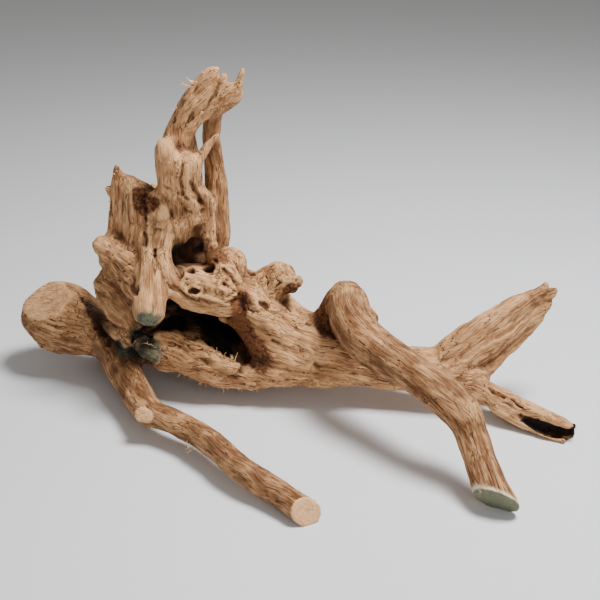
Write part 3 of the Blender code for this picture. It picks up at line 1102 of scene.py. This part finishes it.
@dataclass(frozen=True)
class DryWood:
    """Bare, dry wood with bark stain and rusty pits, painted shade in its hollows and creases, and painted
    shade and highlight on one sawn face.
    """

    deep: Colour = linear(86, 52, 30)
    mid: Colour = linear(164, 114, 74)
    pale: Colour = linear(226, 174, 122)
    bark: Colour = linear(94, 57, 32)
    # Real rust in pits and splits, and also painted red-brown shade in half-shut places
    rust: Colour = linear(58, 28, 15)
    brown: Colour = linear(122, 74, 42)
    # Near-black painted shade in hollows and holes
    soot: Colour = linear(20, 14, 12)
    # Painted shade with a painted grey-green reflection
    grey: Colour = linear(112, 116, 94)
    # Darker painted grey-green shade
    deep_reflected_shade: Colour = linear(74, 78, 68)
    sawn: Colour = linear(236, 184, 134)
    # Painted highlight on the edge of a shaded sawn face
    lit_rim: Colour = linear(242, 224, 186)

    def build(self) -> bpy.types.Material:
        """Make the material.

        Returns:
            The wood's material.
        """
        material = bpy.data.materials.new("dry_wood")
        material.use_nodes = True
        tree = material.node_tree
        tree.nodes.clear()
        sheet = NodeSheet(tree)
        read = {name: sheet.node("ShaderNodeAttribute", attribute_name=name).outputs
                for name in ("grain", "next_grain", "grain_share", "age", "relief_and_sawn", "shelter")}
        stain, rust, soot = sheet.node("ShaderNodeSeparateXYZ", {0: read["age"]["Vector"]}).outputs
        fine, broad, sawn = sheet.node("ShaderNodeSeparateXYZ", {0: read["relief_and_sawn"]["Vector"]}).outputs
        shut, grey, lit_rim = sheet.node("ShaderNodeSeparateXYZ", {0: read["shelter"]["Vector"]}).outputs
        laid = sheet.node("ShaderNodeGroup", node_tree=grain_group())
        tree.links.new(read["grain"]["Vector"], laid.inputs["Grain"])
        tree.links.new(read["next_grain"]["Vector"], laid.inputs["Next Grain"])
        tree.links.new(read["grain_share"]["Fac"], laid.inputs["Share"])
        bands, fibres, splits = (laid.outputs[label] for label in ("Bands", "Fibres", "Splits"))
        place_at = sheet.node("ShaderNodeTexCoord").outputs["Object"]
        blotches = sheet.noise(place_at, 60.0, 4.0)
        specks = sheet.noise(place_at, 420.0)

        colour = sheet.mix(sheet.ramp(bands, 0.34, 0.62), self.mid, self.pale)
        colour = sheet.mix(sheet.ramp(fibres, 0.54, 0.3, 0.0, 0.6), colour, self.deep)
        colour = sheet.mix(sheet.ramp(blotches, 0.45, 0.7, 0.0, 0.4), colour, self.mid)
        # Ridges paler, creases and broad hollows darker: partly bleached and stained wood, partly painted
        # highlight and shade
        colour = sheet.mix(sheet.ramp(fine, 0.15, 0.5, 0.0, 0.6), colour, self.pale)
        colour = sheet.mix(sheet.ramp(fine, -0.08, -0.6, 0.0, 0.85), colour, self.deep)
        colour = sheet.mix(sheet.ramp(broad, -0.2, -2.2, 0.0, 0.7), colour, self.bark)
        patchy = sheet.plus(sheet.times(bands, 0.45), blotches)
        barky = sheet.times(stain, sheet.ramp(patchy, 0.6, 0.88, 0.97, 0.3))
        barky = sheet.times(barky, sheet.ramp(fibres, 0.3, 0.7, 1.0, 0.7))
        colour = sheet.mix(barky, colour, self.bark)
        split_dark = sheet.times(splits, sheet.ramp(blotches, 0.42, 0.58, 0.05, 0.88))
        colour = sheet.mix(split_dark, colour, self.rust)
        mottle = sheet.plus(sheet.times(specks, 0.5), sheet.times(blotches, 0.5))
        rusty = sheet.mix(sheet.ramp(mottle, 0.44, 0.56), self.rust, self.brown)
        colour = sheet.mix(sheet.times(rust, 0.97), colour, rusty)
        # Painted shade: red-brown, then near black, the more the wood shuts a place in
        colour = sheet.mix(sheet.ramp(shut, 0.25, 0.65, 0.0, 0.85), colour, self.rust)
        colour = sheet.mix(sheet.ramp(shut, 0.6, 0.85, 0.0, 0.9), colour, self.soot)
        # Painted grey-green shade with a painted reflection
        shade_grey = sheet.mix(sheet.ramp(mottle, 0.42, 0.58), self.deep_reflected_shade, self.grey)
        colour = sheet.mix(sheet.times(grey, 0.97), colour, shade_grey)
        # Painted near-black shade in hollows and holes
        colour = sheet.mix(sheet.times(soot, 0.98), colour, self.soot)
        cut_face = sheet.mix(sheet.ramp(specks, 0.4, 0.65, 0.0, 0.2), self.sawn, self.mid)
        # A sawn face in painted shade turns grey-green
        cut_face = sheet.mix(sheet.times(grey, 0.98), cut_face, self.grey)
        colour = sheet.mix(sheet.ramp(sawn, 0.2, 0.9, 0.0, 0.95), colour, cut_face)
        # Painted highlight on the edge of that shaded sawn face
        colour = sheet.mix(sheet.times(lit_rim, 0.8), colour, self.lit_rim)

        height = sheet.times(bands, 0.5)
        height = sheet.plus(height, sheet.times(fibres, 0.6))
        height = sheet.math("SUBTRACT", height, sheet.times(split_dark, 0.7))
        height = sheet.plus(height, sheet.times(specks, 0.15))
        bump = sheet.node("ShaderNodeBump", {"Height": height, "Strength": 0.9, "Distance": 0.002})
        surface = sheet.node("ShaderNodeBsdfPrincipled", {"Base Color": colour, "Normal": bump.outputs[0],
                                                          "Roughness": 0.86, "Specular IOR Level": 0.25})
        out = sheet.node("ShaderNodeOutputMaterial")
        tree.links.new(surface.outputs[0], out.inputs[0])
        return material


@dataclass(frozen=True)
class TornFibre:
    """The pale, dull finish of fibres that have torn loose."""

    pale: Colour = linear(232, 190, 140)
    mid: Colour = linear(190, 140, 92)

    def build(self) -> bpy.types.Material:
        """Make the material.

        Returns:
            The fibres' material.
        """
        material = bpy.data.materials.new("torn_fibre")
        material.use_nodes = True
        sheet = NodeSheet(material.node_tree)
        place_at = sheet.node("ShaderNodeTexCoord").outputs["Object"]
        drift = sheet.noise(place_at, 240.0)
        surface = material.node_tree.nodes["Principled BSDF"]
        material.node_tree.links.new(sheet.mix(sheet.ramp(drift, 0.4, 0.6), self.pale, self.mid),
                                     surface.inputs["Base Color"])
        surface.inputs["Roughness"].default_value = 0.9
        surface.inputs["Specular IOR Level"].default_value = 0.2
        return material


# ---------------------------------------------------------------- loose fibres


@dataclass(frozen=True)
class Tuft:
    """Fibres torn loose along a stretch of the surface."""

    start: Point                 # layout millimetres
    end: Point
    lean: Point                  # the way they stick out
    count: int
    length: float                # millimetres
    thickness: float = 0.35      # millimetres, at the root of each
    curl: float = 0.35


TUFTS = (
    Tuft((-84, 15, 258), (-78, 15, 262), (-0.9, -0.3, 0.5), 5, 9, 0.6, 0.2),
    Tuft((-95, 17, 240), (-90, 17, 246), (-0.9, -0.2, 0.4), 3, 6, 0.35, 0.3),
    Tuft((-72, 20, 264), (-64, 20, 270), (-0.2, -0.3, 0.9), 6, 3, 0.5, 0.3),
    Tuft((-50, 21, 252), (-42, 21, 268), (0.6, -0.3, 0.5), 8, 4, 0.5, 0.3),
    Tuft((-146, 18, 186), (-136, 18, 194), (-0.3, -0.2, 0.9), 8, 4, 0.6, 0.3),
    Tuft((-151, 14, 150), (-151, 14, 180), (-0.9, -0.2, 0.1), 7, 3, 0.5, 0.4),
    Tuft((52, -30, 96), (56, -34, 92), (0.8, -0.1, 0.6), 8, 5, 0.4, 0.3),
    Tuft((-2, 12, 84), (10, 8, 78), (0.3, -0.2, 0.9), 8, 5, 0.3, 0.6),
    Tuft((-84, -8, 54), (-56, -12, 38), (0.1, -0.5, 0.8), 16, 7, 0.35, 0.9),
    Tuft((-66, -12, 42), (-54, -12, 38), (0.0, -0.2, 1.0), 6, 8, 0.5, 0.3),
    Tuft((-126, -4, 54), (-112, -6, 48), (-0.6, -0.6, 0.4), 8, 5, 0.5, 0.4),
    Tuft((-112, -10, 28), (-60, -16, 16), (0.2, -0.3, -0.9), 14, 4, 0.35, 0.5),
    Tuft((-60, -16, 14), (40, -22, 14), (0.2, -0.5, -0.7), 16, 3, 0.3, 0.5),
    Tuft((-90, -96, 18), (-82, -100, 12), (-0.3, -0.5, -0.5), 4, 9, 0.3, 0.9),
    Tuft((78, -14, 56), (96, -16, 58), (0.2, -0.1, 1.0), 10, 3, 0.3, 0.4),
    Tuft((140, -4, 76), (160, 0, 88), (-0.3, -0.2, 0.9), 5, 2.5, 0.3, 0.4),
    Tuft((190, 4, 98), (204, 6, 92), (0.5, -0.2, 0.5), 9, 4, 0.55, 0.3),
    Tuft((118, -158, 22), (124, -166, 14), (-0.5, -0.5, 0.2), 6, 2, 0.3, 0.5),
    Tuft((-16, 8, 112), (4, 4, 104), (0.4, -0.2, 0.8), 8, 3, 0.4, 0.4),
    Tuft((172, -54, 22), (216, -68, 16), (0.1, -0.6, 0.2), 10, 3, 0.35, 0.4),
    Tuft((128, -26, 16), (150, -36, 14), (0.1, -0.6, -0.6), 8, 4, 0.35, 0.5),
)


@dataclass
class LooseFibres:
    """Splinters and curls that stand off the root."""

    body: bpy.types.Object
    seed: int = 11

    def build(self) -> bpy.types.Object:
        """Grow every tuft from the nearest wood.

        Returns:
            The finished object.
        """
        source = np.random.default_rng(self.seed)
        tree = BVHTree.FromObject(self.body, bpy.context.evaluated_depsgraph_get())
        low, high = (np.array(corner) for corner in CAD_BOX)
        shape = bmesh.new()
        for tuft in TUFTS:
            for _ in range(tuft.count):
                along = Vector(tuft.start).lerp(Vector(tuft.end), float(source.random()))
                spot, normal, _, _ = tree.find_nearest(place(tuple(along)))
                lean = Vector(tuft.lean).normalized() + normal * 0.5 + Vector(source.normal(size=3)) * 0.25
                heading = lean.normalized()
                length = tuft.length * float(source.uniform(0.5, 1.2))
                point = (spot - normal * 0.0012) / MM - LAYOUT_SHIFT
                bends = [(*point, tuft.thickness)]
                swirl = Vector(source.normal(size=3)).normalized()
                for step in range(4):
                    point = point + heading * (length / 4 + (1.2 if step == 0 else 0.0))
                    kept = np.clip(np.array(place(tuple(point))), low + FIBRE_MARGIN, high - FIBRE_MARGIN)
                    point = Vector(kept / MM) - LAYOUT_SHIFT
                    bends.append((*point, tuft.thickness * (0.85 - 0.22 * step)))
                    heading = (heading + swirl.cross(heading) * tuft.curl).normalized()
                grow_strand(shape, tuple(bends), sides=5, step=max(0.9, length / 8))
        bmesh.ops.recalc_face_normals(shape, faces=shape.faces)
        mesh = finish_mesh(shape, "loose_fibres")
        mesh.shade_smooth()
        mesh.materials.append(TornFibre().build())
        piece = show("loose_fibres", mesh)
        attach(piece, "root")
        return piece


# ---------------------------------------------------------------- studio


@dataclass(frozen=True)
class Lamp:
    """A soft square lamp: its name, where it hangs and the length of its side in metres, and its watts."""

    name: str
    spot: Point
    size: float
    power: float


@dataclass
class Studio:
    """The plain floor, soft lights and camera."""

    aim: Point = (0.0, 0.0, 90.0)            # layout millimetres
    distance: float = 0.8                    # metres
    elevation: float = 25.0                  # degrees
    lens: float = 60.0                       # millimetres
    sensor: float = 36.0                     # millimetres
    lamps: tuple[Lamp, ...] = (Lamp("key_light", (0.35, -0.05, 1.05), 0.35, 21.5),
                               Lamp("fill_light", (0.3, -1.1, 0.6), 0.8, 3.5))
    surroundings: Colour = (1.0, 0.98, 0.95, 1.0)
    brightness: float = 0.27
    floor_colour: Colour = (0.74, 0.75, 0.76, 1.0)
    floor_reach: float = 4.0                 # metres

    def build(self) -> None:
        """Set up the floor, the lights, the surroundings and the camera."""
        self.floor()
        for lamp in self.lamps:
            self.light(lamp)
        world = bpy.data.worlds.new("studio")
        world.use_nodes = True
        world.node_tree.nodes["Background"].inputs["Color"].default_value = self.surroundings
        world.node_tree.nodes["Background"].inputs["Strength"].default_value = self.brightness
        bpy.context.scene.world = world
        self.camera()

    def floor(self) -> None:
        """A plain pale floor."""
        shape = bmesh.new()
        bmesh.ops.create_grid(shape, x_segments=1, y_segments=1, size=self.floor_reach)
        mesh = finish_mesh(shape, "floor")
        material = bpy.data.materials.new("pale_floor")
        material.use_nodes = True
        shader = material.node_tree.nodes["Principled BSDF"]
        shader.inputs["Base Color"].default_value = self.floor_colour
        shader.inputs["Roughness"].default_value = 0.9
        mesh.materials.append(material)
        floor = show("floor", mesh)

    def light(self, lamp: Lamp) -> None:
        """Hang a lamp that looks at the root.

        Args:
            lamp: what it is and where it hangs.
        """
        data = bpy.data.lights.new(lamp.name, "AREA")
        data.size = lamp.size
        data.energy = lamp.power
        item = show(lamp.name, data)
        item.location = lamp.spot
        item.rotation_euler = (place(self.aim) - Vector(lamp.spot)).to_track_quat("-Z", "Y").to_euler()

    def camera(self) -> None:
        """The camera, in front of the root and looking down at it."""
        lens = bpy.data.cameras.new("camera")
        lens.lens = self.lens
        lens.sensor_width = self.sensor
        item = show("camera", lens)
        rise = math.radians(self.elevation)
        back = Vector((0.0, -math.cos(rise), math.sin(rise))) * self.distance
        item.location = place(self.aim) + back
        item.rotation_euler = (-back).to_track_quat("-Z", "Y").to_euler()
        bpy.context.scene.camera = item


def main() -> None:
    """Build the root and the studio, and note the sizes."""
    logging.basicConfig(level=logging.INFO, format="%(name)s: %(message)s")
    body = RootBody().build()
    log.info("%s: %d faces", body.name, len(body.data.polygons))
    fibres = LooseFibres(body).build()
    log.info("%s: %d faces", fibres.name, len(fibres.data.polygons))
    Studio().build()
    log.info("studio ready")


if __name__ == "__main__":
    main()
